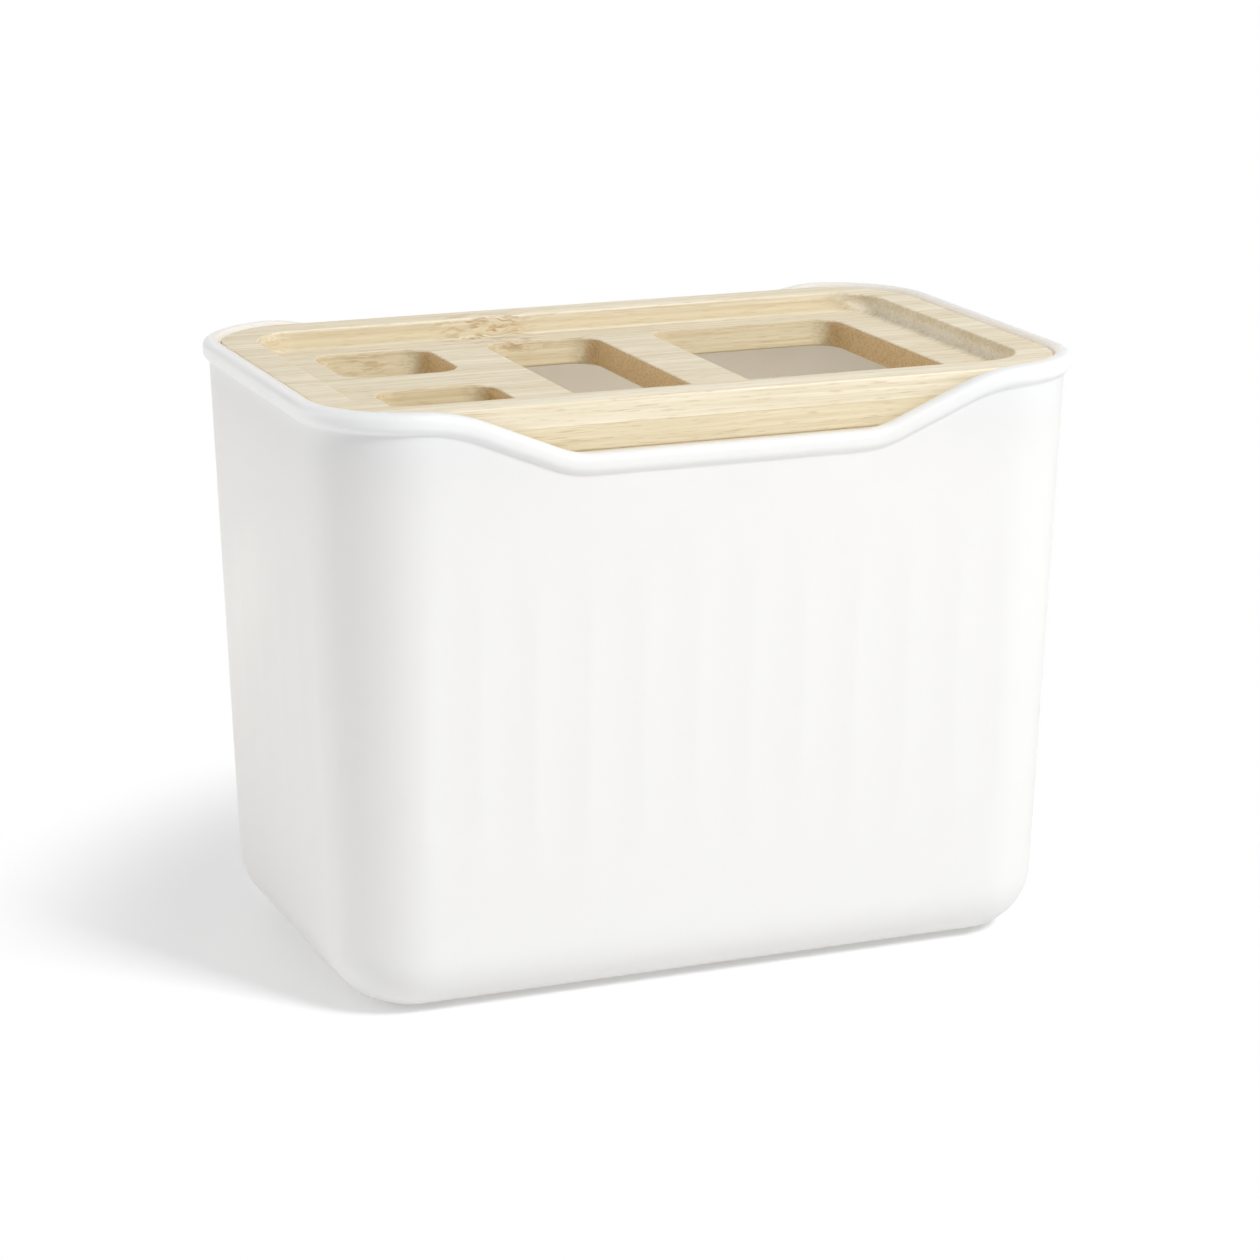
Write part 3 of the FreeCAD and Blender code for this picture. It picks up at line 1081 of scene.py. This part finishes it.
    def upper_board(self) -> bpy.types.Object:
        """Builds the upper board: eased top edges, and a recess whose wall runs into its floor with a cove.

        Returns:
            The new object.
        """
        bottom, top = self.upper_low.z, self.upper_high.z
        floor = bottom + self.panel
        edge, seam, cove, full = self.edge, self.seam, self.cove, self.corner_radius
        flat, side, recess = self.flat_start * edge, self.side_start * edge, full - self.border
        hole = np.concatenate((
            [(flat, floor)],
            arc((edge, floor - edge), edge, 90.0, 180.0, self.edge_steps),
            [(0.0, bottom + seam), (seam, bottom), (edge + seam, bottom)]))
        rim = np.concatenate((
            [(full - edge - seam, bottom), (full - seam, bottom), (full, bottom + seam), (full, top - side)],
            arc((full - edge, top - edge), edge, 0.0, 90.0, self.edge_steps),
            [(full - flat, top), (recess + flat, top)],
            arc((recess + edge, top - edge), edge, 90.0, 180.0, self.edge_steps),
            [(recess, top - self.recess_start * edge), (recess, floor + self.cove_side_start * cove)],
            arc((recess - cove, floor + cove), cove, 0.0, -90.0, self.cove_steps),
            [(recess - self.cove_floor_start * cove, floor)]))
        return self.board("lid_board_upper", hole, rim)

    def dress(self) -> None:
        """Builds both boards, gives them their finishes and puts them on their body."""
        lower = Bamboo(pale=(0.775, 0.695, 0.515), tan=(0.59, 0.48, 0.285), bundle=(0.40, 0.25, 0.10), seed=31.0)
        upper = Bamboo(pale=(0.85, 0.785, 0.64), tan=(0.62, 0.522, 0.345), bundle=(0.42, 0.27, 0.11), seed=2.0)
        for board, finish, node in (
            (self.lower_board(), lower, "lid_lower_board"),
            (self.upper_board(), upper, "lid_upper_board"),
        ):
            board.data.materials.append(finish.material(f"bamboo_{node}"))
            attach(board, "lid")
            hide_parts(node)


# The studio


@dataclass(frozen=True)
class Softbox:
    """A square white lamp that faces a point."""

    name: str
    place: Point
    size: float
    power: float
    aim: Point = (0.0, 0.0, 0.06)
    mirrored: bool = True

    def build(self) -> None:
        """Adds the lamp."""
        lamp = bpy.data.lights.new(self.name, "AREA")
        lamp.size = self.size
        lamp.energy = self.power
        made = bpy.data.objects.new(self.name, lamp)
        made.location = self.place
        made.visible_glossy = self.mirrored
        made.rotation_euler = (Vector(self.aim) - Vector(self.place)).to_track_quat("-Z", "Y").to_euler()
        bpy.context.scene.collection.objects.link(made)


@dataclass(frozen=True)
class Studio:
    """White floor, soft lamps, pale surroundings and the camera.

    Places are in metres, the shadow's fade in millimetres from the middle of the base, and angles in degrees.
    """

    softboxes: tuple[Softbox, ...] = (
        Softbox("key_softbox", (0.654, -1.133, 1.308), 0.45, 25.0),
        Softbox("left_softbox", (-1.35, 0.75, 0.28), 0.5, 7.3),
        Softbox("rear_softbox", (0.3, 1.7, 0.35), 0.6, 6.4, mirrored=False),
    )
    sky: float = 0.42
    floor_colour: float = 0.96
    shown_colour: float = 0.6
    shown_lift: float = 0.37
    shadow_fade: Span = (90.0, 146.0)
    floor_half: float = 6.0
    floor_drop: float = 0.05 * MM
    azimuth: float = 22.02
    elevation: float = 15.51
    roll: float = 0.16
    distance: float = 0.7657
    target: Point = (-0.00207, 0.0, 0.0584)
    focal_pixels: float = 3761.0
    centre_pixels: Span = (623.7, 640.8)

    def build_floor(self) -> None:
        """Adds the floor: pale to the light, and for the camera lifted to white where the light is full."""
        half, height = self.floor_half, -self.floor_drop
        mesh = bpy.data.meshes.new("studio_floor")
        corners = [(-half, -half, height), (half, -half, height), (half, half, height), (-half, half, height)]
        mesh.from_pydata(corners, [], [(0, 1, 2, 3)])
        floor = bpy.data.objects.new("studio_floor", mesh)
        bpy.context.scene.collection.objects.link(floor)
        material = bpy.data.materials.new("studio_white")
        graph = Graph(material)
        matt = graph.add("ShaderNodeBsdfDiffuse", {}, {"Color": grey(self.floor_colour)})
        shown = graph.add("ShaderNodeBsdfDiffuse", {}, {"Color": grey(self.shown_colour)})
        lift = graph.add("ShaderNodeEmission", {}, {"Color": grey(1.0), "Strength": self.shown_lift})
        glow = graph.add("ShaderNodeEmission", {}, {"Color": grey(1.0), "Strength": 1.0})
        away = graph.add("ShaderNodeVectorMath", {"operation": "LENGTH"}, {0: graph.place()}, "Value")
        near = graph.add("ShaderNodeAddShader", {}, {0: shown, 1: lift})
        pool = graph.add("ShaderNodeMixShader", {}, {0: away.step(*self.shadow_fade), 1: near, 2: glow})
        graph.finish(graph.add("ShaderNodeMixShader", {}, {0: graph.seen_directly(), 1: matt, 2: pool}))
        mesh.materials.append(material)

    def build_sky(self) -> None:
        """Sets even surroundings, which show as plain white to the camera and in reflections."""
        world = bpy.data.worlds.new("studio_sky")
        bpy.context.scene.world = world
        graph = Graph(world)
        light = graph.add("ShaderNodeBackground", {}, {"Color": grey(1.0), "Strength": self.sky})
        backdrop = graph.add("ShaderNodeBackground", {}, {"Color": grey(1.0), "Strength": 1.0})
        graph.finish(graph.add("ShaderNodeMixShader", {}, {0: graph.seen_directly(), 1: light, 2: backdrop}))

    def build_camera(self) -> None:
        """Adds the camera at the photograph's viewing angle, from turns about the target and pixels of its frame."""
        turn, rise, roll = (math.radians(angle) for angle in (self.azimuth, self.elevation, self.roll))
        back = Vector((-math.sin(turn) * math.cos(rise), -math.cos(turn) * math.cos(rise), math.sin(rise)))
        right = Vector((math.cos(turn), -math.sin(turn), 0.0))
        up = back.cross(right)
        right, up = math.cos(roll) * right + math.sin(roll) * up, math.cos(roll) * up - math.sin(roll) * right
        lens = bpy.data.cameras.new("camera")
        lens.sensor_width = SENSOR_WIDTH
        lens.lens = self.focal_pixels * SENSOR_WIDTH / IMAGE_PIXELS
        lens.shift_x = 0.5 - self.centre_pixels[0] / IMAGE_PIXELS
        lens.shift_y = self.centre_pixels[1] / IMAGE_PIXELS - 0.5
        camera = bpy.data.objects.new("camera", lens)
        turned = Matrix((right, up, back)).transposed().to_4x4()
        camera.matrix_world = Matrix.Translation(Vector(self.target) + self.distance * back) @ turned
        bpy.context.scene.collection.objects.link(camera)
        bpy.context.scene.camera = camera

    def build(self) -> None:
        """Builds the whole studio."""
        bpy.context.scene.view_settings.view_transform = "Standard"
        self.build_floor()
        self.build_sky()
        self.build_camera()
        for softbox in self.softboxes:
            softbox.build()


def main() -> None:
    """Builds the cup, the lid and the studio, sized from the boxes of the CAD parts."""
    logging.basicConfig(level=logging.INFO, format="%(name)s: %(message)s")
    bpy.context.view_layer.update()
    lower_low, lower_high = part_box("lid_lower_board")
    upper_low, upper_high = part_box("lid_upper_board")
    Cup(*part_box("cup"), ledge=lower_low.z).dress()
    Lid(lower_low, lower_high, upper_low, upper_high).dress()
    Studio().build()


if __name__ == "__main__":
    main()
